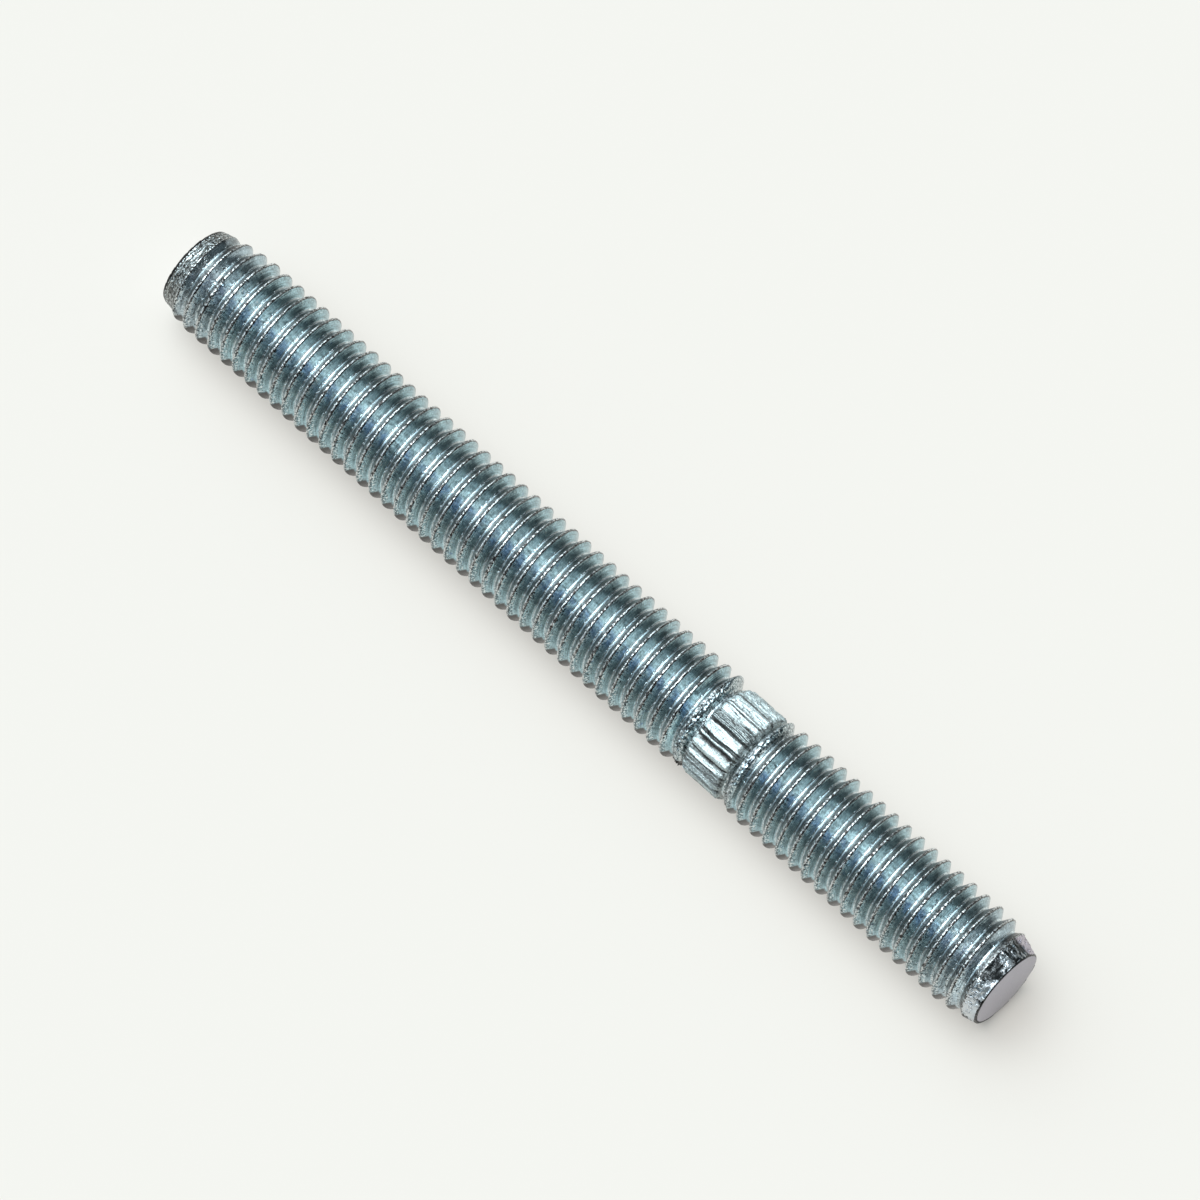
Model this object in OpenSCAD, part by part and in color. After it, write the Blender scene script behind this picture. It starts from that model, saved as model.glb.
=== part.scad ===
// Double-ended threaded rod: one steel bar with a rolled right-hand thread on both ends
// and a short fluted collar between the long thread and the short one.
// It lies along +X on the plane z = 0, with its middle over the origin.

/* [Rod] */
// Overall length from end face to end face
rod_length = 80; // [60:1:120]
// Diameter over the thread crests
major_d = 7.9; // [7.7:0.05:8]

/* [Thread] */
// Advance of the helix in one turn
pitch = 1.25; // [1:0.05:1.5]
// Height of the thread from root to crest
thread_depth = 0.767; // [0.6:0.001:0.9]
// Width of the flat along each crest
crest_width = 0.157; // [0.1:0.001:0.2]
// Included angle between the two flanks
flank_angle = 60; // [50:1:60]
// Place along the rod where a crest crosses the +Y side, counted from the long thread's end
crest_phase = 0.85; // [0:0.05:1.25]
// Straight segments that draw one turn
turn_segments = 24; // [12:1:24]

/* [Ends] */
// Diameter of the end face on the long thread
long_end_d = 6.3; // [5.5:0.1:7]
// Length over which the long thread's crests rise to full height
long_point_length = 6; // [3:0.1:8]
// Diameter of the end face on the short thread
short_end_d = 6.2; // [5.5:0.1:7]
// Length over which the short thread's crests rise to full height
short_point_length = 4.7; // [3:0.1:8]
// Smooth stretch at each end before the thread groove opens
bare_length = 0.85; // [0.3:0.05:1.5]

/* [Collar] */
// Distance from the long thread's end to the collar
collar_start = 52; // [30:0.5:53]
// Length of the flutes
collar_length = 3.6; // [2:0.1:6]
// Diameter over the ridges between the flutes
collar_d = 7.55; // [7.2:0.05:7.9]
// Number of flutes around the collar
flute_count = 30; // [16:1:36]
// Depth of each flute
flute_depth = 0.3; // [0.1:0.02:0.4]
// Share of each flute's spacing that its mouth takes
flute_share = 0.42; // [0.2:0.02:0.5]
// Chamfer around both ends of the ridges
ridge_chamfer = 0.1; // [0.05:0.05:0.3]

/* [Hidden] */
zinc = [0.62, 0.70, 0.73];

major_r = major_d / 2;
root_r = major_r - thread_depth;
flank_width = thread_depth * tan(flank_angle / 2);
root_width = pitch - crest_width - 2 * flank_width;

// Half a segment turns the thread's flats square to the ground, and their middles lie on major_r.
first_angle = 180 / turn_segments;
flat_scale = 1 / cos(first_angle);

// Profile of one pitch: [distance along the rod, radius] from one root's start to the crest's end.
profile = [
    [0, root_r],
    [root_width, root_r],
    [root_width + flank_width, major_r],
    [root_width + flank_width + crest_width, major_r],
];
crest_middle = root_width + flank_width + crest_width / 2;
thread_start = crest_phase - crest_middle - 2 * pitch;
turns = ceil(rod_length / pitch) + 2;
last_row = turns * turn_segments;

// How far a shape reaches past the one that it cuts or meets.
overrun = 0.3;
blank_r = major_r + overrun;
point_steps = 4;
point_lead = 1;
round_fn = 96;

// A point of the helical surface: row counts segments along the helix, and column the profile's points.
function thread_point(row, column) =
    let (a = first_angle + row * 360 / turn_segments)
    let (x = thread_start + pitch * a / 360 + profile[column][0])
    let (r = profile[column][1] * flat_scale)
    [x, r * cos(a), r * sin(a)];

// Each row's last column is the first column one turn on, so every turn joins the next.
function point_index(row, column) =
    column == len(profile) ? point_index(row + turn_segments, 0)
    : row <= last_row ? len(profile) * row + column
    : len(profile) * (last_row + 1) + row - last_row - 1;

function patch(row, column) = [
    [point_index(row, column), point_index(row, column + 1), point_index(row + 1, column + 1)],
    [point_index(row, column), point_index(row + 1, column + 1), point_index(row + 1, column)],
];

// Radius that the end's taper leaves at a distance from the end face.
function point_r(end_r, point_length, s) = major_r - (major_r - end_r) * pow(1 - s / point_length, 2);

module helical_thread() {
    columns = len(profile);
    strip_points = [for (row = [0:last_row]) for (column = [0:columns - 1]) thread_point(row, column)];
    edge_points = [for (row = [last_row + 1:last_row + turn_segments]) thread_point(row, 0)];
    tail = len(strip_points) + len(edge_points);
    head = tail + 1;
    axis_points = [[thread_start - overrun, 0, 0], [thread_start + (turns + 1) * pitch + overrun, 0, 0]];
    sides = [
        for (row = [0:last_row - 1])
        for (column = [0:columns - 1])
        for (triangle = patch(row, column)) triangle
    ];
    tail_faces = concat(
        [for (row = [0:turn_segments - 1]) [tail, point_index(row, 0), point_index(row + 1, 0)]],
        [for (column = [0:columns - 1]) [tail, point_index(0, column + 1), point_index(0, column)]]
    );
    head_faces = concat(
        [for (row = [last_row:last_row + turn_segments - 1])
            [head, point_index(row + 1, 0), point_index(row, 0)]],
        [for (column = [0:columns - 1])
            [head, point_index(last_row, column), point_index(last_row, column + 1)]]
    );
    polyhedron(
        points = concat(strip_points, edge_points, axis_points),
        faces = concat(sides, tail_faces, head_faces)
    );
}

// Outline of the bar before its thread is rolled, tapered at both ends.
module turned_blank() {
    long_side = [for (k = [0:point_steps - 1])
        let (s = k / point_steps * long_point_length)
        [point_r(long_end_d / 2, long_point_length, s), s]];
    short_side = [for (k = [point_steps - 1:-1:0])
        let (s = k / point_steps * short_point_length)
        [point_r(short_end_d / 2, short_point_length, s), rod_length - s]];
    middle = [
        [blank_r, long_point_length + point_lead],
        [blank_r, rod_length - short_point_length - point_lead],
    ];
    rotate([0, 90, 0])
        rotate_extrude($fn = round_fn)
            polygon(concat([[0, 0]], long_side, middle, short_side, [[0, rod_length]]));
}

// Core that fills the groove next to an end face, so that the last turn runs out on the taper.
module run_out() {
    rotate([0, 90, 0])
        translate([0, 0, -overrun]) {
            cylinder(h = bare_length + overrun, r = major_r, $fn = round_fn);
            translate([0, 0, bare_length + overrun])
                cylinder(h = thread_depth + overrun, r1 = major_r, r2 = root_r - overrun, $fn = round_fn);
        }
}

// Band that the flutes are pressed into, chamfered where the ridges end.
module ridge_band(collar_r) {
    translate([0, 0, ridge_chamfer])
        cylinder(h = collar_length - 2 * ridge_chamfer, r = collar_r, $fn = round_fn);
    cylinder(h = ridge_chamfer, r1 = collar_r - ridge_chamfer, r2 = collar_r, $fn = round_fn);
    translate([0, 0, collar_length - ridge_chamfer])
        cylinder(h = ridge_chamfer, r1 = collar_r, r2 = collar_r - ridge_chamfer, $fn = round_fn);
}

module fluted_collar() {
    collar_r = collar_d / 2;
    half_mouth = PI * collar_r / flute_count * flute_share;
    half_top = half_mouth * (flute_depth + overrun) / flute_depth;
    translate([collar_start, 0, 0])
        rotate([0, 90, 0])
            difference() {
                ridge_band(collar_r);
                for (k = [0:flute_count - 1])
                    rotate([0, 0, k * 360 / flute_count])
                        translate([collar_r, 0, -overrun])
                            linear_extrude(collar_length + 2 * overrun)
                                polygon([[overrun, -half_top], [overrun, half_top], [-flute_depth, 0]]);
            }
}

module threaded_rod() {
    color(zinc)
        translate([-rod_length / 2, 0, major_r]) {
            intersection() {
                union() {
                    helical_thread();
                    run_out();
                    translate([rod_length, 0, 0])
                        mirror([1, 0, 0])
                            run_out();
                }
                turned_blank();
            }
            fluted_collar();
        }
}

threaded_rod();
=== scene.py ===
import math
import random

import bmesh
import bpy
from mathutils import Matrix, Vector, noise


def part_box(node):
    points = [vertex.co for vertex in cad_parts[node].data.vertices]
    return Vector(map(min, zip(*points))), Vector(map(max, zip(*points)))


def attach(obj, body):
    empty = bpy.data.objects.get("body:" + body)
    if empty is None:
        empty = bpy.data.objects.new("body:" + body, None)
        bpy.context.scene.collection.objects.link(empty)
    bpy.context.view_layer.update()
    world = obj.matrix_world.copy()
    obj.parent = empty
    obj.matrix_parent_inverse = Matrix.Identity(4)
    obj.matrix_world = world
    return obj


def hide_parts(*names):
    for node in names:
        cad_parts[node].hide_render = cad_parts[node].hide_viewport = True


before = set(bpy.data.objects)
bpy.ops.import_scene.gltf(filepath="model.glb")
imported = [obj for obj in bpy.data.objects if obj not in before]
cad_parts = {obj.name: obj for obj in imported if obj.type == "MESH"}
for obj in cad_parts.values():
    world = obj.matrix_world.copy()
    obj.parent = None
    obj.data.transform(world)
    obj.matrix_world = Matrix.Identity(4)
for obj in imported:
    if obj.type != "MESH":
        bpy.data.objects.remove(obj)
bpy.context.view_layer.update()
mm = 0.001
rodLow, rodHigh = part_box("threaded_rod")
rodLength = rodHigh.x - rodLow.x
axisHeight = (rodLow.z + rodHigh.z) / 2
lengthMm = rodLength / mm
crestMm = (rodHigh.z - rodLow.z) / 2 / mm


# The rod's surface is a radius for each place and angle. Places run in mm from the long thread's end, and
# angles in degrees from +Y towards +Z.
thread = {
    "pitch": 1.25,
    "rootRadius": 3.183,
    "crestFlat": 0.04,          # half of the flat on each crest
    "crestRound": 0.045,
    "rootRound": 0.13,
    "roundTurn": 60.0,          # degrees that both rounds turn before they meet the flank
    "flankEase": 0.12,          # share of the flank kept for an extra cut at its top and foot
    "crestAtZero": 0.851,       # where the first crest stands at angle 0
    "segments": 72,
    "wobble": 0.016,            # rolled crests are never quite even
    "longWobble": 0.6,          # waves per mm
    "shortWobble": 2.3,
}
longEnd = {
    "faceRadius": 3.22,
    "taper": 5.2,
    "steeper": 0.45,            # how much shorter the taper is on the side it leans to
    "power": 2.0,
    "lean": 0.08,               # the face sits off the axis by this much
    "leanTowards": 197.8,
    "coneSlope": 0.30,
    "bareUntil": 60.0,          # degrees along the thread where the groove starts
    "fullAt": 480.0,
    "ringSpacing": 0.31,        # fine rings left by the cut
    "ringDepth": 0.008,
    "dents": 0.06,
}
shortEnd = {
    "faceRadius": 3.13,
    "taper": 3.4,
    "steeper": 0.0,
    "power": 1.35,
    "lean": 0.18,
    "leanTowards": 197.8,
    "coneSlope": 0.33,
    "bareUntil": 460.0,
    "fullAt": 660.0,
    "ringSpacing": 0.24,
    "ringDepth": 0.006,
    "dents": 0.13,
}
rim = {
    "width": 0.09,
    "setBack": 0.035,
    "uneven": 0.03,
    "leastSetBack": 0.005,
    "leastGroove": 0.02,        # the last groove stays this much under the taper
    "dentsFrom": 0.2,           # no dents closer to the face than this
}
collar = {
    "start": 52.0,
    "length": 3.6,
    "outerRadius": 3.77,
    "deepest": 0.30,
    "segments": 540,
    "rings": 30,
    "footRadius": 3.40,         # the thread runs out to this beside the collar
    "footRise": 0.04,
    "sway": 1.3,                # degrees that the ridges wander along the collar
    "smallSway": 0.5,
    "steepSides": (0.10, 0.26), # change of height in one degree on a gentle and on a steep side
    "endRound": 0.32,
    "endUneven": 0.12,
    "endHeight": 0.2,           # share of the height left at the very ends
    "crushedEnds": (0.05, 0.7),
    "crushedDepth": 0.14,
    "scratches": 0.034,
    "grain": 0.030,
    "lowerThanThread": 0.05,
}
# one dent in a ridge: angle and half width, share of the length and half length, depth
collarDent = (84.5, 2.6, 0.75, 0.22, 0.14)
# ridges and grooves on the collar's face: angle and height from 0 in the deepest groove to 1 on a ridge
ridges = [
    (40, 0.75), (44, 0.35), (47, 0.9), (51, 0.6), (55, 0.85), (57.5, 0.15), (59, 1.0), (69, 0.35), (71, 0.1),
    (72.5, 0.75), (74.5, 0.7), (75.6, 0.15), (77, 0.85), (82, 0.75), (86, 0.5), (88, 0.85), (89.3, 0.35),
    (91, 0.95), (92.6, 0.4), (94.5, 0.95), (96.4, 0.45), (98.5, 1.0), (101.5, 0.1), (103, 0.7), (107, 0.6),
    (111, 0.9), (114, 1.0), (116.5, 0.15), (118.5, 0.85), (120.5, 1.0), (124.5, 0.05), (129, 0.4), (134, 1.0),
    (138, 0.7), (140, 0.05), (144, 0.3), (149, 1.0), (151, 0.2), (153.5, 0.8), (156, 0.3), (158.5, 0.9),
    (161, 0.25), (164, 0.95), (167, 0.3), (171, 0.9), (175, 0.15), (179, 0.95),
]
# more of the same round the back: steps in degrees and heights, each drawn between two values
backRidges = {
    "seed": 11,
    "grooveStep": (2.5, 5.5),
    "grooveHeight": (0.05, 0.3),
    "ridgeStep": (2.0, 5.5),
    "ridgeHeight": (0.75, 1.0),
    "lastGap": 8,
}
# the turns beside the collar were squashed on one side when it was pressed
squashed = {
    "reach": 2.0,
    "fullHeight": 0.5,          # mm from the collar to a turn of full height
    "sideStarts": (40, 62),
    "sideEnds": (205, 235),
    "before": (50.75, 51.05),
    "beforeRadius": 3.38,
    "beforeBeads": 0.42,
    "after": (56.35, 56.75),
    "afterRadius": 3.50,
    "afterBeads": 0.22,
}
# places where the thread was knocked: distance, angle, half length along and around, depth in mm
knocks = [
    (3.71, 104, 0.25, 3.8, 0.26),
    (9.76, 96, 0.12, 2.0, 0.10),
    (22.31, 118, 0.10, 2.4, 0.08),
    (33.49, 88, 0.10, 2.0, 0.09),
    (44.85, 121, 0.12, 2.5, 0.08),
    (63.45, 99, 0.12, 2.2, 0.09),
    (70.98, 117, 0.10, 2.0, 0.08),
]
lip = {
    "height": 0.25,             # share of the knock's depth, raised round it
    "at": 1.15,                 # in half widths of the knock
    "width": 0.25,
    "reach": 1.6,
    "hollow": (0.2, 1.1),       # full depth and none
}
# a crumbled stretch of one crest near the long end
crumbs = {
    "crest": 2,
    "from": 3.3,
    "to": 4.3,
    "angles": (104, 146),
    "starts": (107, 112),
    "ends": (136, 145),
    "besideCrest": (0.15, 0.32),
    "depth": 0.10,
    "rough": 0.16,
    "grain": 5.5,
}
meshing = {
    "merge": 0.002,             # mm
    "cut": 0.0005,
    "onEdge": 0.003,
    "onFace": 0.001,
    "besideCollar": 0.01,
}
endOfCollar = collar["start"] + collar["length"]
middleOfCollar = collar["start"] + collar["length"] / 2
# stretches with a finer mesh: from, to, first and last angle, cuts
finer = [
    (-1.0, 1.35, -1, 361, 2),
    (lengthMm - 1.45, lengthMm + 1, -1, 361, 2),
    (50.7, 52.1, 20, 235, 2),
    (55.5, 56.9, 20, 235, 2),
    (3.35, 4.2, 96, 146, 3),
]
roundReach = math.sin(math.radians(thread["roundTurn"]))
flankTop = thread["crestFlat"] + thread["crestRound"] * roundReach      # mm from a crest's middle
flankFoot = thread["pitch"] / 2 - thread["rootRound"] * roundReach


def smooth(value, low, high):
    t = min(max((value - low) / (high - low), 0.0), 1.0)
    return t * t * (3 - 2 * t)


def grooveRadius(offset):
    # radius at a distance from the nearest crest's middle: flat, crest round, flank, root round
    d = abs(offset)
    if d <= thread["crestFlat"]:
        return crestMm
    if d <= flankTop:
        across = d - thread["crestFlat"]
        return crestMm - thread["crestRound"] + math.sqrt(thread["crestRound"] ** 2 - across ** 2)
    if d <= flankFoot:
        top = crestMm - thread["crestRound"] / 2
        bottom = thread["rootRadius"] + thread["rootRound"] / 2
        return top + (bottom - top) * (d - flankTop) / (flankFoot - flankTop)
    across = thread["pitch"] / 2 - d
    return thread["rootRadius"] + thread["rootRound"] - math.sqrt(thread["rootRound"] ** 2 - across ** 2)


def profileOffsets():
    # places across one pitch that its shape needs, from one groove's middle to the next
    halfTurn = math.sin(math.radians(thread["roundTurn"] / 2))
    rootTurn = thread["pitch"] / 2 - thread["rootRound"] * halfTurn
    ease = thread["flankEase"] * (flankFoot - flankTop)
    half = [thread["crestFlat"], flankTop, flankTop + ease, flankFoot - ease, rootTurn, thread["pitch"] / 2]
    return [-d for d in reversed(half)] + half


def crestOffset(x, angle):
    # distance along the axis from the nearest crest, and how far along the helix that crest is
    turns = (x - thread["crestAtZero"]) / thread["pitch"] - angle / 360
    nearest = round(turns)
    return (turns - nearest) * thread["pitch"], nearest * 360 + angle


def grain(x, angle, fineness):
    # even noise over the rod's surface
    around = math.radians(angle)
    return noise.noise(Vector((x, crestMm * math.cos(around), crestMm * math.sin(around))) * fineness)


def threadStreak(x, angle, across=5.0, along=5.0):
    # noise that changes quickly across the thread and slowly along it
    turns = x / thread["pitch"] - angle / 360
    around = math.radians(angle)
    return noise.noise(Vector((turns * across, along * math.cos(around), along * math.sin(around))))


def rodStreak(x, angle, across=24.0, along=0.9):
    # scratches along the rod
    around = math.radians(angle)
    return noise.noise(Vector((x * along, across * math.cos(around), across * math.sin(around))))


def threadRadius(x, angle):
    # radius of the surface, and how much of the thread's own finish it has
    offset, along = crestOffset(x, angle)
    radius = grooveRadius(offset)
    height = (radius - thread["rootRadius"]) / (crestMm - thread["rootRadius"])
    wobble = grain(x, angle, thread["longWobble"]) + 0.8 * grain(x, angle, thread["shortWobble"])
    radius -= thread["wobble"] * (1.1 + wobble) * height ** 3
    share = 1.0
    if x < longEnd["taper"]:
        radius, share = taperedRadius(longEnd, x, x, angle, height, along + (360 if offset > 0 else 0))
    elif x > lengthMm - shortEnd["taper"]:
        lastTurn = (lengthMm - thread["crestAtZero"]) / thread["pitch"] * 360
        left = lastTurn - along + (360 if offset < 0 else 0)
        radius, share = taperedRadius(shortEnd, lengthMm - x, x, angle, height, left)
    elif abs(x - middleOfCollar) < collar["length"] / 2 + squashed["reach"]:
        radius = besideCollar(x, angle, radius)
    return knocked(x, angle, radius), share


def taperedRadius(end, s, x, angle, height, along):
    leaning = math.cos(math.radians(angle - end["leanTowards"]))
    taper = end["taper"] * (1 - end["steeper"] * (1 + leaning) / 2)
    ease = max(0.0, 1 - s / taper) ** end["power"]
    face = end["faceRadius"] + end["lean"] * leaning
    envelope = crestMm - (crestMm - face) * ease
    cone = min(face + s * end["coneSlope"], envelope)
    root = min(thread["rootRadius"], envelope - rim["leastGroove"])
    threaded = root + (envelope - root) * height
    cut = smooth(along, end["bareUntil"], end["fullAt"])
    bare = 1 - cut
    rings = end["ringDepth"] * math.sin(2 * math.pi * s / end["ringSpacing"] + 2 * grain(x, angle, 0.7))
    uneven = threadStreak(x, angle) + 0.7 * grain(x, angle, 3.5)
    dents = end["dents"] * uneven * smooth(s, 0.0, rim["dentsFrom"])
    radius = cone + (threaded - cone) * cut + bare * (rings + dents)
    return min(radius, envelope), cut


def besideCollar(x, angle, radius):
    beside = max(collar["start"] - x, x - endOfCollar)
    low = collar["footRadius"]
    limit = low + (crestMm - low) * smooth(beside, 0.0, squashed["fullHeight"])
    depth = (limit - thread["rootRadius"]) / (crestMm - thread["rootRadius"])
    radius = thread["rootRadius"] + (radius - thread["rootRadius"]) * depth
    facing = smooth(angle, *squashed["sideStarts"]) * (1 - smooth(angle, *squashed["sideEnds"]))
    beads = 0.5 + 0.5 * grain(x, angle, 4.5) + 0.35 * grain(x, angle, 9.0)
    if x < collar["start"]:
        squash = facing * smooth(x, *squashed["before"])
        flat = squashed["beforeRadius"] + squashed["beforeBeads"] * max(0.0, beads)
    else:
        squash = facing * (1 - smooth(x, *squashed["after"]))
        flat = squashed["afterRadius"] + squashed["afterBeads"] * beads
    return radius + (min(radius, flat) - radius) * squash


def knocked(x, angle, radius):
    for place, towards, halfLength, halfAngle, depth in knocks:
        d = math.hypot((x - place) / halfLength, (angle - towards) / halfAngle)
        if d < lip["reach"]:
            edge = lip["height"] * math.exp(-((d - lip["at"]) / lip["width"]) ** 2)
            radius += depth * (edge - (1 - smooth(d, *lip["hollow"])))
    firstAngle, lastAngle = crumbs["angles"]
    if crumbs["from"] < x < crumbs["to"] and firstAngle < angle < lastAngle:
        crest = thread["crestAtZero"] + thread["pitch"] * (crumbs["crest"] + angle / 360)
        crumbled = 1 - smooth(abs(x - crest), *crumbs["besideCrest"])
        crumbled *= smooth(angle, *crumbs["starts"]) * (1 - smooth(angle, *crumbs["ends"]))
        radius -= crumbled * (crumbs["depth"] + crumbs["rough"] * grain(x, angle, crumbs["grain"]))
    return radius


def ridgeHeights():
    # the listed ridges, and drawn ones round the back
    rng = random.Random(backRidges["seed"])
    points = list(ridges)
    at = ridges[-1][0]
    while at < 360 + ridges[0][0] - backRidges["lastGap"]:
        at += rng.uniform(*backRidges["grooveStep"])
        points.append((at, rng.uniform(*backRidges["grooveHeight"])))
        at += rng.uniform(*backRidges["ridgeStep"])
        points.append((at, rng.uniform(*backRidges["ridgeHeight"])))
    points.append((360 + ridges[0][0], ridges[0][1]))
    return points


allRidges = ridgeHeights()


def ridgeAt(angle):
    angle = ridges[0][0] + (angle - ridges[0][0]) % 360
    for (a, low), (b, high) in zip(allRidges, allRidges[1:]):
        if a <= angle <= b:
            return low + (high - low) * (angle - a) / (b - a)
    return 0.5


def swayed(x, angle):
    # the ridges wander a little along the collar
    slow = noise.noise(Vector((x * 0.7, angle * 0.06, 3.1)))
    quick = noise.noise(Vector((x * 2.1, angle * 0.2, 9.1)))
    return angle + collar["sway"] * slow + collar["smallSway"] * quick


def steepness(x, angle):
    # how steep the side of a ridge is, from 0 to 1
    middle = swayed(x, angle)
    change = ridgeAt(middle + 0.5) - ridgeAt(middle - 0.5)
    return smooth(abs(change), *collar["steepSides"])


def collarRadius(x, angle):
    u = (x - collar["start"]) / collar["length"]
    height = ridgeAt(swayed(x, angle))
    fromEnd = min(u, 1 - u) * collar["length"] - collar["endUneven"] * grain(x, angle, 2.5)
    whole = smooth(fromEnd, 0.0, collar["endRound"])
    crushed = (1 - smooth(fromEnd, *collar["crushedEnds"])) * grain(x, angle, 5.0) * collar["crushedDepth"]
    dentAngle, halfAngle, dentAt, halfLength, dentDepth = collarDent
    dent = math.exp(-((angle - dentAngle) / halfAngle) ** 2 - ((u - dentAt) / halfLength) ** 2) * dentDepth
    texture = collar["scratches"] * rodStreak(x, angle) + collar["grain"] * grain(x, angle, 5.0)
    top = collar["outerRadius"] - collar["deepest"] * (1 - height) + texture + crushed - dent
    foot = collar["footRadius"] + collar["footRise"]
    share = collar["endHeight"] + (1 - collar["endHeight"]) * whole
    return min(foot + (top - foot) * share, crestMm - collar["lowerThanThread"])


# The mesh is swept, stacked, cut and closed.
def polar(vert):
    return vert.co.x / mm, math.degrees(math.atan2(vert.co.z, vert.co.y)) % 360


def setRadius(vert, radius):
    angle = math.atan2(vert.co.z, vert.co.y)
    vert.co.y = radius * mm * math.cos(angle)
    vert.co.z = radius * mm * math.sin(angle)


def movedOn(bm, made, distance):
    # moves the new vertices that an operator made along the rod
    verts = [g for g in made["geom"] if isinstance(g, bmesh.types.BMVert)]
    bmesh.ops.translate(bm, verts=verts, vec=(distance, 0, 0))


def sweepThread(start, stop):
    # one turn is a screw sweep of one pitch, and its copies are stacked along the axis
    bm = bmesh.new()
    ring = []
    for d in profileOffsets():
        ring.append(bm.verts.new((d * mm, grooveRadius(d) * mm, 0)))
    for a, b in zip(ring, ring[1:]):
        bm.edges.new((a, b))
    advance = thread["pitch"] * mm / thread["segments"]
    bmesh.ops.spin(bm, geom=bm.verts[:] + bm.edges[:], cent=(0, 0, 0), axis=(1, 0, 0),
                   angle=math.radians(360), dvec=(advance, 0, 0), steps=thread["segments"])
    firstTurn = math.floor((start - thread["crestAtZero"]) / thread["pitch"]) - 1
    lastTurn = math.ceil((stop - thread["crestAtZero"]) / thread["pitch"]) + 1
    firstCrest = thread["crestAtZero"] + firstTurn * thread["pitch"]
    bmesh.ops.translate(bm, verts=bm.verts, vec=(firstCrest * mm, 0, 0))
    oneTurn = bm.verts[:] + bm.edges[:] + bm.faces[:]
    for turn in range(1, lastTurn - firstTurn):
        movedOn(bm, bmesh.ops.duplicate(bm, geom=oneTurn), turn * thread["pitch"] * mm)
    bmesh.ops.remove_doubles(bm, verts=bm.verts, dist=meshing["merge"] * mm)
    for place, keepAfter in ((start, True), (stop, False)):
        bmesh.ops.bisect_plane(bm, geom=bm.verts[:] + bm.edges[:] + bm.faces[:], dist=meshing["cut"] * mm,
                               plane_co=(place * mm, 0, 0), plane_no=(1, 0, 0),
                               clear_inner=keepAfter, clear_outer=not keepAfter)
    refine(bm)
    for vert in bm.verts:
        x, angle = polar(vert)
        setRadius(vert, threadRadius(x, angle)[0])
    return bm


def refine(bm):
    for low, high, firstAngle, lastAngle, cuts in finer:
        inside = set()
        for vert in bm.verts:
            x, angle = polar(vert)
            if low < x < high and firstAngle < angle < lastAngle:
                inside.add(vert)
        edges = [e for e in bm.edges if e.verts[0] in inside and e.verts[1] in inside]
        if edges:
            bmesh.ops.subdivide_edges(bm, edges=edges, cuts=cuts, use_grid_fill=True)


def sweepCollar():
    bm = bmesh.new()
    upright = Matrix.Rotation(math.radians(90), 4, "Y")
    bmesh.ops.create_circle(bm, segments=collar["segments"], radius=collar["outerRadius"] * mm,
                            matrix=Matrix.Translation((collar["start"] * mm, 0, 0)) @ upright)
    step = collar["length"] * mm / collar["rings"]
    edge = bm.edges[:]
    for ring in range(collar["rings"]):
        grown = bmesh.ops.extrude_edge_only(bm, edges=edge)
        edge = [g for g in grown["geom"] if isinstance(g, bmesh.types.BMEdge) and g.is_boundary]
        movedOn(bm, grown, step)
    for vert in bm.verts:
        x, angle = polar(vert)
        setRadius(vert, collarRadius(x, angle))
    return bm


def boundaryAt(bm, x):
    edges = [e for e in bm.edges if e.is_boundary]
    return [e for e in edges if all(abs(v.co.x - x * mm) < meshing["onEdge"] * mm for v in e.verts)]


def closeEnd(bm, place, inward):
    # a flat sheared face inside a narrow uneven edge
    edge = boundaryAt(bm, place)
    face = bmesh.ops.contextual_create(bm, geom=edge)["faces"]
    bmesh.ops.inset_region(bm, faces=face, thickness=rim["width"] * mm, use_even_offset=True)
    for e in edge:
        e.smooth = False
    for vert in {v for e in edge for v in e.verts}:
        x, angle = polar(vert)
        chip = rim["setBack"] + rim["uneven"] * grain(place * 1.3, angle, 1.4)
        vert.co.x += inward * max(chip, rim["leastSetBack"]) * mm


def markFinishes(bm):
    # how threaded and how steep each place is, and which of the three finishes each face has
    threaded = bm.verts.layers.float.new("threaded")
    steep = bm.verts.layers.float.new("steep")
    margin = meshing["besideCollar"]
    for vert in bm.verts:
        x, angle = polar(vert)
        vert[threaded] = threadRadius(x, angle)[1]
        if abs(x - middleOfCollar) < collar["length"] / 2 + margin:
            vert[steep] = steepness(x, angle)
    for face in bm.faces:
        face.smooth = True
        x = face.calc_center_median().x / mm
        atEnd = x < meshing["onFace"] or x > lengthMm - meshing["onFace"]
        if atEnd and abs(face.normal.x) > 0.99:
            face.material_index = 2
        elif collar["start"] - margin < x < endOfCollar + margin:
            face.material_index = 1


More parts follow.
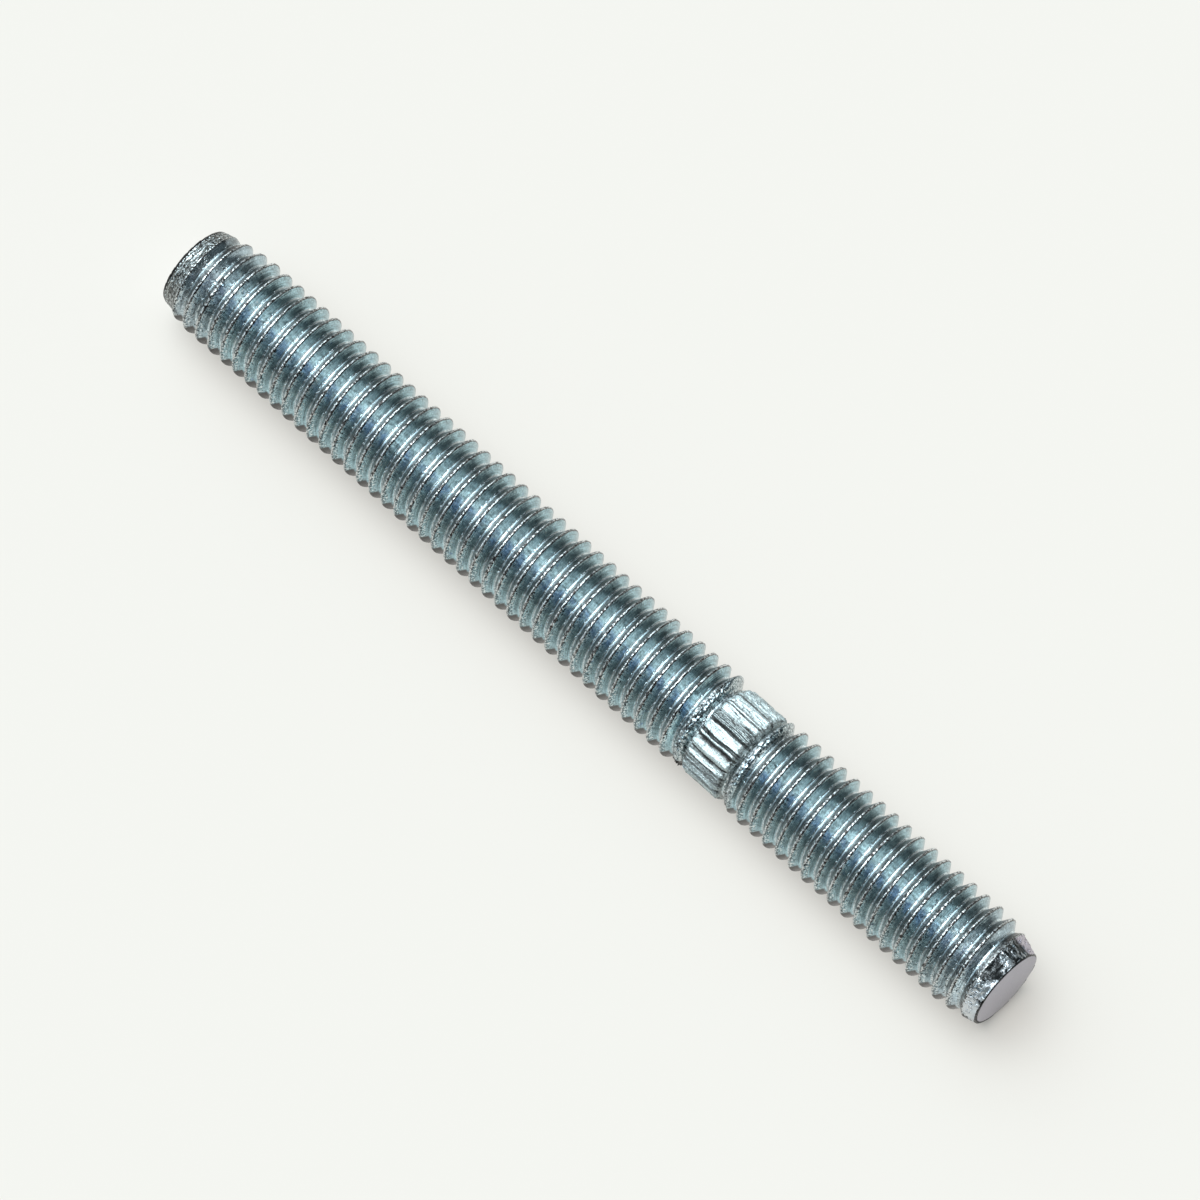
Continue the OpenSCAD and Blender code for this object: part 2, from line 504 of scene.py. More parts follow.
def makeRod():
    print("rod: sweeping the threads")
    bm = sweepThread(0.0, collar["start"])
    for part in (sweepThread(endOfCollar, lengthMm), sweepCollar()):
        mesh = bpy.data.meshes.new("part")
        part.to_mesh(mesh)
        part.free()
        bm.from_mesh(mesh)
        bpy.data.meshes.remove(mesh)
    print("rod: closing the shoulders and ends")
    for place in (collar["start"], endOfCollar):
        bmesh.ops.triangle_fill(bm, edges=boundaryAt(bm, place), use_beauty=True, normal=(1, 0, 0))
    for place, inward in ((0.0, 1), (lengthMm, -1)):
        closeEnd(bm, place, inward)
    bmesh.ops.recalc_face_normals(bm, faces=bm.faces)
    markFinishes(bm)
    bmesh.ops.translate(bm, verts=bm.verts, vec=(rodLow.x, 0, axisHeight))
    for vert in bm.verts:
        vert.co.x = min(max(vert.co.x, rodLow.x), rodHigh.x)
    mesh = bpy.data.meshes.new("threadedRodSurface")
    bm.to_mesh(mesh)
    loose = sum(1 for e in bm.edges if len(e.link_faces) != 2)
    triangles = sum(len(p.vertices) - 2 for p in mesh.polygons)
    print("rod:", len(mesh.vertices), "vertices,", triangles, "triangles,", loose, "open edges")
    bm.free()
    rod = bpy.data.objects.new("threadedRodSurface", mesh)
    bpy.context.scene.collection.objects.link(rod)
    return rod


rod = makeRod()


zinc = {
    "flank": (0.36, 0.53, 0.58, 1),         # blue passivated zinc on the flanks that face the short end
    "navyFilmAndReflection": (0.17, 0.29, 0.44, 1),      # where the film is thicker, and painted navy reflection in a band just below the rod's brightest line
    "lastFlanks": (0.45, 0.48, 0.53, 1),    # hardly any blue left near both ends
    "backFlank": (0.26, 0.25, 0.24, 1),     # a little straw coloured on the other flanks
    "root": (0.66, 0.76, 0.79, 1),
    "crest": (0.82, 0.85, 0.85, 1),         # rubbed bright in small beads along a thin line
    "crestEdge": (0.085, 0.076, 0.073, 1),  # dark beside it
    "glint": (0.80, 0.86, 0.86, 1),
    "crushed": (0.33, 0.37, 0.38, 1),       # turns squashed beside the collar
    "paintedUnderShade": (0.05, 0.048, 0.046, 1),   # painted shade on the crests that lie towards the ground
    "bare": (0.13, 0.135, 0.13, 1),         # the cut ends
    "rim": (0.02, 0.02, 0.02, 1),
    "paintedShadedFacet": (0.06, 0.065, 0.067, 1),   # painted shaded facets on the short end's cone, beside painted lit ones
    "paintedLitFacet": (0.62, 0.66, 0.69, 1),
    "facetSmooth": (0.50, 0.46, 0.52, 1),
    "roughness": 0.14,
    "cloudyRoughness": 0.16,
    "backRoughness": 0.10,
    "crushedShare": 0.75,
    "ringShare": 0.45,
    "ringSpacing": 0.29,        # mm
    "ringSway": 9.0,
}
# noise in the zinc: scale per mm, detail and roughness
zincNoises = {
    "beads": (4.2, 2.0, 0.6),
    "smallBeads": (6.0, 1.0, 0.5),
    "grain": (6.5, 2.0, 0.7),
    "cloud": (0.9, 3.0, 0.55),
    "film": (2.1, 3.0, 0.6),
}
# values of the noise where a mark starts and where it is whole
zincLimits = {
    "deepCloud": (0.30, 0.60),
    "deepFilm": (0.60, 0.80),
    "lines": (0.38, 0.62),
    "roughFilm": (0.47, 0.60),
    "ringTops": (0.55, 0.95),
    "ringBreaks": (0.42, 0.58),
    "glint": (0.555, 0.60),
    "hole": (0.43, 0.39),
    "bead": (0.46, 0.52),
    "pit": (0.54, 0.68),
    "facet": (0.65, 0.74),
}
# mm where a mark starts and where it is whole, and then its least and greatest share if not 0 and 1
reach = {
    "crestLine": (0.085, 0.065),            # from the middle of a crest
    "crestEdge": (0.165, 0.130),
    "rootLine": (0.48, 0.57),
    "flankTop": (0.28, 0.18),
    "flankMiddle": (0.17, 0.25),
    "scatter": (0.44, 0.32),
    "underCrest": (0.46, 0.36),
    "nearSide": (-0.8, -2.0),               # across the rod, towards +Y
    "paintedLowerCrestShade": (-1.2, -1.8),
    "nearRim": (-3.3, -3.7),
    "farRim": (2.5, 3.0),
    "fadingEdge": (-3.75, -3.35, 0.45),
    "roughTurns": (1.6, 0.4),
    "litFacets": (-1.6, -2.3),
    "smoothFacet": (2.1, 2.25),
    "paintedUnderShade": (-0.25, -0.55),            # above the axis
    "firstTurn": (2.0, 3.0, 0.45),          # from the long end
    "longRim": (1.0, 0.9),
    "cone": (lengthMm - 4, lengthMm - 3.5),
    "lastFlanks": (7.0, 2.0, 0.0, 0.55),    # from the nearer end
    "lastTurns": (11.0, 3.0),
    "rimEdge": (0.24, 0.18),
    "wholeTurns": (2.8, 3.1),               # from the collar's middle
}
# bands along the rod where light and shade are painted, by the reach of both of their sides in mm across it
bands = {
    "navyFilmAndReflection": ((-0.6, -1.2), (-2.3, -1.6)),
    "upper": ((0.7, 1.3), (2.8, 2.2)),
    "lower": ((-1.2, -1.8), (-3.5, -2.9)),
    "upperFlanks": ((0.1, 0.8, 0.0, 1.2), (1.8, 1.4)),
    "upperShade": ((1.5, 1.9), (2.7, 2.2)),
    "paintedCrestShade": ((1.4, 1.8), (2.9, 2.5)),
    "paintedCrestHighlight": ((0.1, 0.4), (1.5, 1.2)),
    "paintedFacetShade": ((0.5, 0.7), (2.2, 2.1)),
}
# how much lighter each place is made, or darker: painted light and shade in bands across the rod, and random
# tone
tones = {
    "upperGrooveShade": -0.58,
    "lowerGrooveShade": -0.42,
    "flankShade": -0.8,
    "flankHighlight": 0.50,
    "sideShade": -0.14,
    "paintedCrestShade": -0.35,
    "paintedCrestHighlight": 0.14,
    "paintedLowerCrestShade": -0.22,
    "cloud": 0.5,
    "streaks": (0.36, 0.57),    # difference and least tone
    "specks": (2.6, 0.7),       # on the most broken places, and everywhere
    "shortSideSpecks": -0.7,    # the flanks that face the short end have fewer
    "least": 0.15,
}
# how far one mark changes another
changes = {
    "shortSide": (0.23, 0.27),  # phase of a crest between its two flanks
    "threaded": (0.15, 0.6),    # share of the thread's own finish
    "edgeGrain": 0.07,          # mm by which noise moves the dark edges of the crests
    "edgeNearSide": -0.03,
    "firstTurnFilm": 1.6,
    "scatterFilm": 0.2,
    "scatterNearSide": (0.75, 0.25),
    "scatterTurned": 0.7,
    "rimLongEnd": -0.10,
    "rimGrain": 0.22,
    "pitsOnCrestLine": -0.9,
    "pitsOnRootLine": 0.9,
    "pitsOnBackFlank": 0.8,
    "pitsOnLastTurns": 0.25,
}
# streaks change quickly with the radius and slowly along the thread
streaks = {
    "noise": (1.0, 3.0, 0.65),
    "acrossThread": 14,
    "shortSideShift": 5,
    "alongRod": 0.5,
    "aroundRod": 0.35,
}
# the short end's cone was hammered into flat patches, painted lit and shaded by patch and by bands across the
# rod
hammered = {
    "patchStretch": (0.25, 0.8, 0.8),
    "patchNoise": (1.0, 1.0, 0.5),
    "scrapeStretch": (0.6, 5.0, 5.0),
    "scrapeNoise": (1.0, 2.0, 0.6),
    "scrapes": 0.45,
    "paintedFacetShade": -0.12,
    "lit": 0.05,
}
# strength and depth in mm
bumps = {
    "streaks": (0.8, 0.02),
    "pits": (1.0, 0.07),
    "beads": (1.0, 0.06),
    "facets": (1.0, 0.14),
    "rings": (1.0, 0.025),
    "knurlScratches": (0.9, 0.10),
    "knurlGrain": (0.9, 0.065),
    "endGrain": (0.4, 0.05),
}
knurl = {
    "ridge": (0.57, 0.65, 0.65, 1),
    "deep": (0.035, 0.033, 0.032, 1),       # dirt and shade in the grooves
    "spots": (0.16, 0.18, 0.19, 1),
    "wornAbove": (0.02, 0.16),              # mm above the deepest groove
    "wornEnds": (0.20, 0.05),               # mm from the collar's ends
    "steepDirtAndShade": -0.9,
    "scratchStretch": (1.2, 7.0, 7.0),
    "scratchNoise": (1.0, 3.0, 0.65),
    "grainNoise": (5.5, 2.0, 0.6),
    "spotLimits": (0.36, 0.30),
    "scratchLimits": (0.35, 0.65),
    "scratchTone": (0.5, 0.65),             # difference and least tone
    "roughness": (0.2, 0.18),
    "metallic": 0.75,
}
endCut = {
    "dark": (0.46, 0.43, 0.475, 1),
    "light": (0.61, 0.58, 0.62, 1),
    "edge": (0.03, 0.03, 0.03, 1),
    "grainNoise": (6.0, 4.0, 0.6),
    "edgeUneven": 0.16,
    "edgeRadius": (3.15, 3.20),
    "roughness": 0.55,
    "metallic": 0.6,
}


def newMaterial(name):
    material = bpy.data.materials.new(name)
    material.use_nodes = True
    return material, material.node_tree


def plug(tree, socket, value):
    if isinstance(value, bpy.types.NodeSocket):
        tree.links.new(value, socket)
    else:
        socket.default_value = value


def calc(tree, operation, *values):
    node = tree.nodes.new("ShaderNodeMath")
    node.operation = operation
    for socket, value in zip(node.inputs, values):
        plug(tree, socket, value)
    return node.outputs[0]


def chained(tree, operation, first, others):
    for other in others:
        first = calc(tree, operation, first, other)
    return first


def times(tree, first, *others):
    return chained(tree, "MULTIPLY", first, others)


def plus(tree, first, *others):
    return chained(tree, "ADD", first, others)


def largest(tree, first, *others):
    return chained(tree, "MAXIMUM", first, others)


def without(tree, share):
    return calc(tree, "SUBTRACT", 1.0, share)


def raised(tree, share, by, base=1.0):
    return calc(tree, "MULTIPLY_ADD", share, by, base)


def ramp(tree, value, low, high, start=0.0, end=1.0):
    node = tree.nodes.new("ShaderNodeMapRange")
    node.interpolation_type = "SMOOTHSTEP"
    plug(tree, node.inputs["Value"], value)
    node.inputs["From Min"].default_value = low
    node.inputs["From Max"].default_value = high
    node.inputs["To Min"].default_value = start
    node.inputs["To Max"].default_value = end
    return node.outputs["Result"]


def band(tree, value, name):
    oneSide, otherSide = bands[name]
    return times(tree, ramp(tree, value, *oneSide), ramp(tree, value, *otherSide))


def blendColour(tree, share, first, second, blend="MIX"):
    node = tree.nodes.new("ShaderNodeMix")
    node.data_type = "RGBA"
    node.blend_type = blend
    plug(tree, node.inputs[0], share)
    plug(tree, node.inputs[6], first)
    plug(tree, node.inputs[7], second)
    return node.outputs[2]


def multiplied(tree, colour, tone):
    return blendColour(tree, 1.0, colour, joined(tree, tone, tone, tone), "MULTIPLY")


def noiseAt(tree, vector, scale, detail=2.0, rough=0.5):
    node = tree.nodes.new("ShaderNodeTexNoise")
    tree.links.new(vector, node.inputs["Vector"])
    node.inputs["Scale"].default_value = scale
    node.inputs["Detail"].default_value = detail
    node.inputs["Roughness"].default_value = rough
    return node.outputs["Fac"]


def joined(tree, x, y, z):
    node = tree.nodes.new("ShaderNodeCombineXYZ")
    for socket, value in zip(node.inputs, (x, y, z)):
        plug(tree, socket, value)
    return node.outputs[0]


def stretched(tree, at, x, y, z):
    return joined(tree, times(tree, at["x"], x), times(tree, at["y"], y), times(tree, at["z"], z))


def attributeOf(tree, name):
    node = tree.nodes.new("ShaderNodeAttribute")
    node.attribute_name = name
    return node.outputs["Fac"]


def bumpFrom(tree, height, name, normal=None):
    strength, depth = bumps[name]
    node = tree.nodes.new("ShaderNodeBump")
    node.inputs["Strength"].default_value = strength
    node.inputs["Distance"].default_value = depth * mm
    tree.links.new(height, node.inputs["Height"])
    if normal is not None:
        tree.links.new(normal, node.inputs["Normal"])
    return node.outputs["Normal"]


def rodPlaces(tree):
    # object coordinates in mm, the radius, and where a point lies between two crests
    coords = tree.nodes.new("ShaderNodeTexCoord")
    split = tree.nodes.new("ShaderNodeSeparateXYZ")
    tree.links.new(coords.outputs["Object"], split.inputs[0])
    x = raised(tree, split.outputs[0], 1 / mm, -rodLow.x / mm)
    y = times(tree, split.outputs[1], 1 / mm)
    z = raised(tree, split.outputs[2], 1 / mm, -axisHeight / mm)
    radius = calc(tree, "SQRT", plus(tree, times(tree, y, y), times(tree, z, z)))
    turn = calc(tree, "DIVIDE", calc(tree, "ARCTAN2", z, y), 2 * math.pi)
    turns = calc(tree, "DIVIDE", calc(tree, "SUBTRACT", x, thread["crestAtZero"]), thread["pitch"])
    phase = calc(tree, "FRACT", plus(tree, calc(tree, "SUBTRACT", turns, turn), 100))
    return {"x": x, "y": y, "z": z, "radius": radius, "phase": phase, "place": joined(tree, x, y, z)}


def zincMarks(tree, at):
    # noise and shares from 0 to 1 that say where each look of the zinc lies
    marks = {name: noiseAt(tree, at["place"], *values) for name, values in zincNoises.items()}
    halfTurn = calc(tree, "PINGPONG", plus(tree, at["phase"], 0.25), 0.5)
    shortSide = ramp(tree, halfTurn, *changes["shortSide"])
    fromCrest = times(tree, calc(tree, "PINGPONG", at["phase"], 0.5), thread["pitch"])
    fromEnd = calc(tree, "MINIMUM", at["x"], calc(tree, "SUBTRACT", lengthMm, at["x"]))
    fromCollar = calc(tree, "ABSOLUTE", calc(tree, "SUBTRACT", at["x"], middleOfCollar))
    threaded = ramp(tree, attributeOf(tree, "threaded"), *changes["threaded"])
    bare = without(tree, threaded)
    whole = ramp(tree, fromCollar, *reach["wholeTurns"])
    nearSide = ramp(tree, at["y"], *reach["nearSide"])
    uneven = raised(tree, nearSide, changes["edgeNearSide"], fromCrest)
    uneven = raised(tree, marks["grain"], changes["edgeGrain"], uneven)
    fading = times(tree, whole, ramp(tree, at["y"], *reach["fadingEdge"]))
    lastTurns = times(tree, ramp(tree, fromEnd, *reach["lastTurns"]),
                      ramp(tree, marks["film"], *zincLimits["roughFilm"]),
                      ramp(tree, at["y"], *reach["roughTurns"]))
    cone = times(tree, bare, ramp(tree, at["x"], *reach["cone"]))
    shifted = times(tree, shortSide, streaks["shortSideShift"])
    around = times(tree, at["y"], streaks["aroundRod"])
    streakPlace = joined(tree, raised(tree, at["radius"], streaks["acrossThread"], shifted),
                         raised(tree, at["x"], streaks["alongRod"], around),
                         times(tree, at["z"], streaks["aroundRod"]))
    marks.update({
        "streaks": noiseAt(tree, streakPlace, *streaks["noise"]),
        "shortSide": shortSide,
        "fromCrest": fromCrest,
        "fromEnd": fromEnd,
        "threaded": threaded,
        "bare": bare,
        "nearSide": nearSide,
        "crestLine": times(tree, ramp(tree, fromCrest, *reach["crestLine"]), threaded, whole),
        "crestEdge": times(tree, ramp(tree, uneven, *reach["crestEdge"]), threaded, fading),
        "rootLine": times(tree, ramp(tree, fromCrest, *reach["rootLine"]), threaded),
        "lowerBand": band(tree, at["y"], "lower"),
        "lastTurns": lastTurns,
        "crushed": times(tree, without(tree, whole), threaded),
        "cone": cone,
        "turned": calc(tree, "SUBTRACT", bare, cone),
    })
    return marks


def threadColour(tree, at, marks):
    # painted navy reflection in cloudy patches in a band just below the rod's brightest line, and thicker
    # film at random
    filmAndNavyReflection = times(tree, band(tree, at["y"], "navyFilmAndReflection"), ramp(tree, marks["cloud"], *zincLimits["deepCloud"]))
    filmAndNavyReflection = largest(tree, filmAndNavyReflection, ramp(tree, marks["film"], *zincLimits["deepFilm"]))
    flank = blendColour(tree, filmAndNavyReflection, zinc["flank"], zinc["navyFilmAndReflection"])
    flank = blendColour(tree, ramp(tree, marks["fromEnd"], *reach["lastFlanks"]), flank, zinc["lastFlanks"])
    colour = blendColour(tree, marks["shortSide"], zinc["backFlank"], flank)
    colour = blendColour(tree, marks["rootLine"], colour, zinc["root"])
    firstTurn = raised(tree, marks["film"], changes["firstTurnFilm"], at["x"])
    coloured = times(tree, marks["threaded"], ramp(tree, firstTurn, *reach["firstTurn"]))
    return blendColour(tree, coloured, zinc["bare"], colour)


def threadTone(tree, at, marks):
    # the cut ends and the flanks that face the long end are the most broken up
    broken = largest(tree, raised(tree, marks["shortSide"], tones["shortSideSpecks"]), marks["bare"])
    specks = times(tree, calc(tree, "SUBTRACT", marks["grain"], 0.5), raised(tree, broken, *tones["specks"]))
    lines = ramp(tree, marks["streaks"], *zincLimits["lines"])
    tone = raised(tree, marks["cloud"], tones["cloud"], raised(tree, lines, *tones["streaks"]))
    tone = largest(tree, plus(tree, tone, specks), tones["least"])
    # painted shade: the grooves are darker in two bands along the rod, on both sides of its brightest line
    lowerGrooveShade = times(tree, marks["lowerBand"], tones["lowerGrooveShade"])
    grooveShade = raised(tree, band(tree, at["y"], "upper"), tones["upperGrooveShade"], lowerGrooveShade)
    openFlank = times(tree, marks["shortSide"], without(tree, marks["rootLine"]))
    grooved = times(tree, without(tree, openFlank), marks["threaded"])
    tone = times(tree, tone, raised(tree, grooveShade, grooved))
    # painted light and shade: the open flanks are lighter in those bands, darker at their tops in the upper
    # band and a little darker along both sides of the rod
    flankMiddle = ramp(tree, marks["fromCrest"], *reach["flankMiddle"])
    flankLightMask = plus(tree, times(tree, band(tree, at["y"], "upperFlanks"), flankMiddle), marks["lowerBand"])
    shade = times(tree, band(tree, at["y"], "upperShade"), ramp(tree, marks["fromCrest"], *reach["flankTop"]))
    flankLightMask = raised(tree, shade, tones["flankShade"], flankLightMask)
    sideShade = plus(tree, ramp(tree, at["y"], *reach["farRim"]), ramp(tree, at["y"], *reach["nearRim"]))
    flankLightTone = raised(tree, sideShade, tones["sideShade"], raised(tree, flankLightMask, tones["flankHighlight"]))
    flankLightTone = raised(tree, calc(tree, "SUBTRACT", flankLightTone, 1.0), times(tree, openFlank, marks["threaded"]))
    return times(tree, tone, flankLightTone)


def sprinkled(tree, marks, colour):
    # glints and holes beside the crests, thickest on the near side, the last turns and the squashed ones
    beside = raised(tree, marks["film"], changes["scatterFilm"], marks["fromCrest"])
    beside = times(tree, ramp(tree, beside, *reach["scatter"]), marks["threaded"],
                   raised(tree, marks["nearSide"], *changes["scatterNearSide"]))
    scatter = largest(tree, beside, times(tree, marks["lastTurns"], marks["threaded"]), marks["crushed"],
                      times(tree, marks["turned"], changes["scatterTurned"]))
    glint = times(tree, ramp(tree, marks["grain"], *zincLimits["glint"]), scatter)
    colour = blendColour(tree, glint, colour, zinc["glint"])
    hole = times(tree, ramp(tree, marks["grain"], *zincLimits["hole"]), scatter)
    return blendColour(tree, hole, colour, zinc["rim"])


def rubbedAndLitCrests(tree, at, marks, colour):
    # painted highlight and shade: the crests are lighter in the band of the rod's brightest line, darker
    # above it and towards the near side
    tone = raised(tree, band(tree, at["y"], "paintedCrestHighlight"), tones["paintedCrestHighlight"])
    tone = raised(tree, band(tree, at["y"], "paintedCrestShade"), tones["paintedCrestShade"], tone)
    tone = raised(tree, ramp(tree, at["y"], *reach["paintedLowerCrestShade"]), tones["paintedLowerCrestShade"], tone)
    bead = ramp(tree, marks["smallBeads"], *zincLimits["bead"])
    rubbedAndLit = multiplied(tree, zinc["crest"], tone)
    return blendColour(tree, times(tree, marks["crestLine"], bead), colour, rubbedAndLit)


def hammeredFacets(tree, at):
    # height of the flat patches, and their colour as painted lit and shaded patches
    patches = noiseAt(tree, stretched(tree, at, *hammered["patchStretch"]), *hammered["patchNoise"])
    scrapes = noiseAt(tree, stretched(tree, at, *hammered["scrapeStretch"]), *hammered["scrapeNoise"])
    facets = raised(tree, scrapes, hammered["scrapes"], patches)
    facets = raised(tree, band(tree, at["y"], "paintedFacetShade"), hammered["paintedFacetShade"], facets)
    facets = raised(tree, ramp(tree, at["y"], *reach["litFacets"]), hammered["lit"], facets)
    bright = ramp(tree, facets, *zincLimits["facet"])
    colour = blendColour(tree, bright, zinc["paintedShadedFacet"], zinc["paintedLitFacet"])
    colour = blendColour(tree, ramp(tree, at["y"], *reach["smoothFacet"]), colour, zinc["facetSmooth"])
    return facets, colour


def zincBumps(tree, marks, facets, rings):
    # small raised grains, thick beside the crests and on the cut ends
    beside = times(tree, marks["crestEdge"], raised(tree, marks["crestLine"], changes["pitsOnCrestLine"]))
    rougher = largest(tree, beside, times(tree, marks["rootLine"], changes["pitsOnRootLine"]),
                      times(tree, without(tree, marks["shortSide"]), changes["pitsOnBackFlank"]),
                      marks["bare"], times(tree, marks["lastTurns"], changes["pitsOnLastTurns"]))
    pits = times(tree, ramp(tree, marks["beads"], *zincLimits["pit"]), rougher)
    normal = bumpFrom(tree, marks["streaks"], "streaks")
    normal = bumpFrom(tree, pits, "pits", normal)
    normal = bumpFrom(tree, times(tree, marks["smallBeads"], marks["crestLine"]), "beads", normal)
    normal = bumpFrom(tree, times(tree, facets, marks["cone"]), "facets", normal)
    return bumpFrom(tree, times(tree, rings, marks["turned"]), "rings", normal)


def makeZinc():
    material, tree = newMaterial("blueZinc")
    shader = tree.nodes["Principled BSDF"]
    at = rodPlaces(tree)
    marks = zincMarks(tree, at)
    colour = multiplied(tree, threadColour(tree, at, marks), threadTone(tree, at, marks))
    colour = blendColour(tree, marks["crestEdge"], colour, zinc["crestEdge"])
    colour = blendColour(tree, times(tree, marks["crushed"], zinc["crushedShare"]), colour, zinc["crushed"])
    # fine rings on the long end's turned edge
    sway = times(tree, marks["film"], zinc["ringSway"])
    rings = calc(tree, "SINE", raised(tree, at["x"], 2 * math.pi / zinc["ringSpacing"], sway))
    ringMarks = times(tree, ramp(tree, rings, *zincLimits["ringTops"]),
                      ramp(tree, marks["streaks"], *zincLimits["ringBreaks"]),
                      marks["turned"], zinc["ringShare"])
    colour = blendColour(tree, ringMarks, colour, zinc["glint"])
    colour = sprinkled(tree, marks, colour)
    colour = rubbedAndLitCrests(tree, at, marks, colour)
    facets, facetColour = hammeredFacets(tree, at)
    colour = blendColour(tree, marks["cone"], colour, facetColour)
    # dark uneven rims, and painted shade on the crests underneath
    fromRim = ramp(tree, at["x"], *reach["longRim"])
    fromRim = raised(tree, fromRim, changes["rimLongEnd"], marks["fromEnd"])
    rimEdge = ramp(tree, raised(tree, marks["grain"], changes["rimGrain"], fromRim), *reach["rimEdge"])
    colour = blendColour(tree, rimEdge, colour, zinc["rim"])
    shadeBelow = times(tree, ramp(tree, at["z"], *reach["paintedUnderShade"]),
                  ramp(tree, marks["fromCrest"], *reach["underCrest"]))
    colour = blendColour(tree, shadeBelow, colour, zinc["paintedUnderShade"])
    tree.links.new(colour, shader.inputs["Base Color"])
    shader.inputs["Metallic"].default_value = 1.0
    rough = raised(tree, marks["cloud"], zinc["cloudyRoughness"], zinc["roughness"])
    backRough = raised(tree, marks["shortSide"], -zinc["backRoughness"], zinc["backRoughness"])
    tree.links.new(plus(tree, rough, backRough), shader.inputs["Roughness"])
    tree.links.new(zincBumps(tree, marks, facets, rings), shader.inputs["Normal"])
    return material


def makeKnurlZinc():
    material, tree = newMaterial("knurledZinc")
    shader = tree.nodes["Principled BSDF"]
    at = rodPlaces(tree)
    deep = collar["outerRadius"] - collar["deepest"]
    fromMiddle = calc(tree, "ABSOLUTE", calc(tree, "SUBTRACT", at["x"], middleOfCollar))
    ends = ramp(tree, fromMiddle, *(collar["length"] / 2 - inset for inset in knurl["wornEnds"]))
    wornAndUnshaded = largest(tree, ends, ramp(tree, at["radius"], *(deep + above for above in knurl["wornAbove"])))
    # the steep sides of the ridges take the dark colour of dirt and painted shade
    wornAndUnshaded = times(tree, wornAndUnshaded, raised(tree, attributeOf(tree, "steep"), knurl["steepDirtAndShade"]))
    scratches = noiseAt(tree, stretched(tree, at, *knurl["scratchStretch"]), *knurl["scratchNoise"])
    grains = noiseAt(tree, at["place"], *knurl["grainNoise"])
    colour = blendColour(tree, wornAndUnshaded, knurl["deep"], knurl["ridge"])
    colour = blendColour(tree, ramp(tree, grains, *knurl["spotLimits"]), colour, knurl["spots"])
    tone = raised(tree, ramp(tree, scratches, *knurl["scratchLimits"]), *knurl["scratchTone"])
    tree.links.new(multiplied(tree, colour, tone), shader.inputs["Base Color"])
    shader.inputs["Metallic"].default_value = knurl["metallic"]
    tree.links.new(raised(tree, grains, *knurl["roughness"]), shader.inputs["Roughness"])
    normal = bumpFrom(tree, grains, "knurlGrain", bumpFrom(tree, scratches, "knurlScratches"))
    tree.links.new(normal, shader.inputs["Normal"])
    return material


def makeShearedEnd():
    material, tree = newMaterial("shearedEnd")
    shader = tree.nodes["Principled BSDF"]
    at = rodPlaces(tree)
    grains = noiseAt(tree, at["place"], *endCut["grainNoise"])
    colour = blendColour(tree, grains, endCut["dark"], endCut["light"])
    uneven = raised(tree, grains, endCut["edgeUneven"], at["radius"])
    colour = blendColour(tree, ramp(tree, uneven, *endCut["edgeRadius"]), colour, endCut["edge"])
    tree.links.new(colour, shader.inputs["Base Color"])
    shader.inputs["Metallic"].default_value = endCut["metallic"]
    shader.inputs["Roughness"].default_value = endCut["roughness"]
    tree.links.new(bumpFrom(tree, grains, "endGrain"), shader.inputs["Normal"])
    return material


print("rod: zinc finishes")
for material in (makeZinc(), makeKnurlZinc(), makeShearedEnd()):
    rod.data.materials.append(material)
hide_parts("threaded_rod")
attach(rod, "root")


# soft lights: tilt along the rod and angle round it, half angles of the bright middle and of the edge
lights = [
    {"towards": (-12, 93), "halfAngles": (8, 33), "colour": (1.0, 1.0, 1.0), "strength": 4.2},
    {"towards": (-14, 82), "halfAngles": (15, 50), "colour": (0.78, 0.96, 1.07), "strength": 0.45},
    {"towards": (-43, 90), "halfAngles": (8, 44), "colour": (0.84, 1.0, 1.04), "strength": 1.95},
    {"towards": (-45, 105), "halfAngles": (20, 66), "colour": (0.70, 0.88, 1.02), "strength": 0.85},
    {"towards": (-47, 172), "halfAngles": (10, 36), "colour": (0.80, 0.90, 0.95), "strength": 0.40},
    {"towards": (-43, 40), "halfAngles": (10, 34), "colour": (0.75, 0.90, 1.0), "strength": 0.75},
]
studio = {
    "floorSize": 6.0,
    "paper": (0.74, 0.705, 0.655, 1),
    "paperRoughness": 0.8,
    "paperShine": 0.1,
    "paperGlow": (0.775, 0.745, 0.695, 1),
    "contact": (0.6, 2.8),          # mm from the line where the rod lies on the paper: full and no shade
    "glowShare": 0.6,               # how far the white paper's own brightness fills the shadow
    "roomColour": (0.71, 0.88, 0.94),
    "roomStrength": 0.17,
    "cameraTowards": (0.2835, -0.2916, 0.9135),
    "cameraDistance": 0.60,
    "cameraAim": (0.42, 1.39),      # mm right of and above the rod's middle, as the camera sees it
    "lens": 254.8,
    "sensor": 36,
    "clip": (0.01, 20),
}


def seenRay(tree):
    # 1 for rays that show the paper itself: to the camera, in a reflection or through glass
    path = tree.nodes.new("ShaderNodeLightPath")
    kinds = ("Is Camera Ray", "Is Glossy Ray", "Is Transmission Ray")
    return largest(tree, *(path.outputs[kind] for kind in kinds))


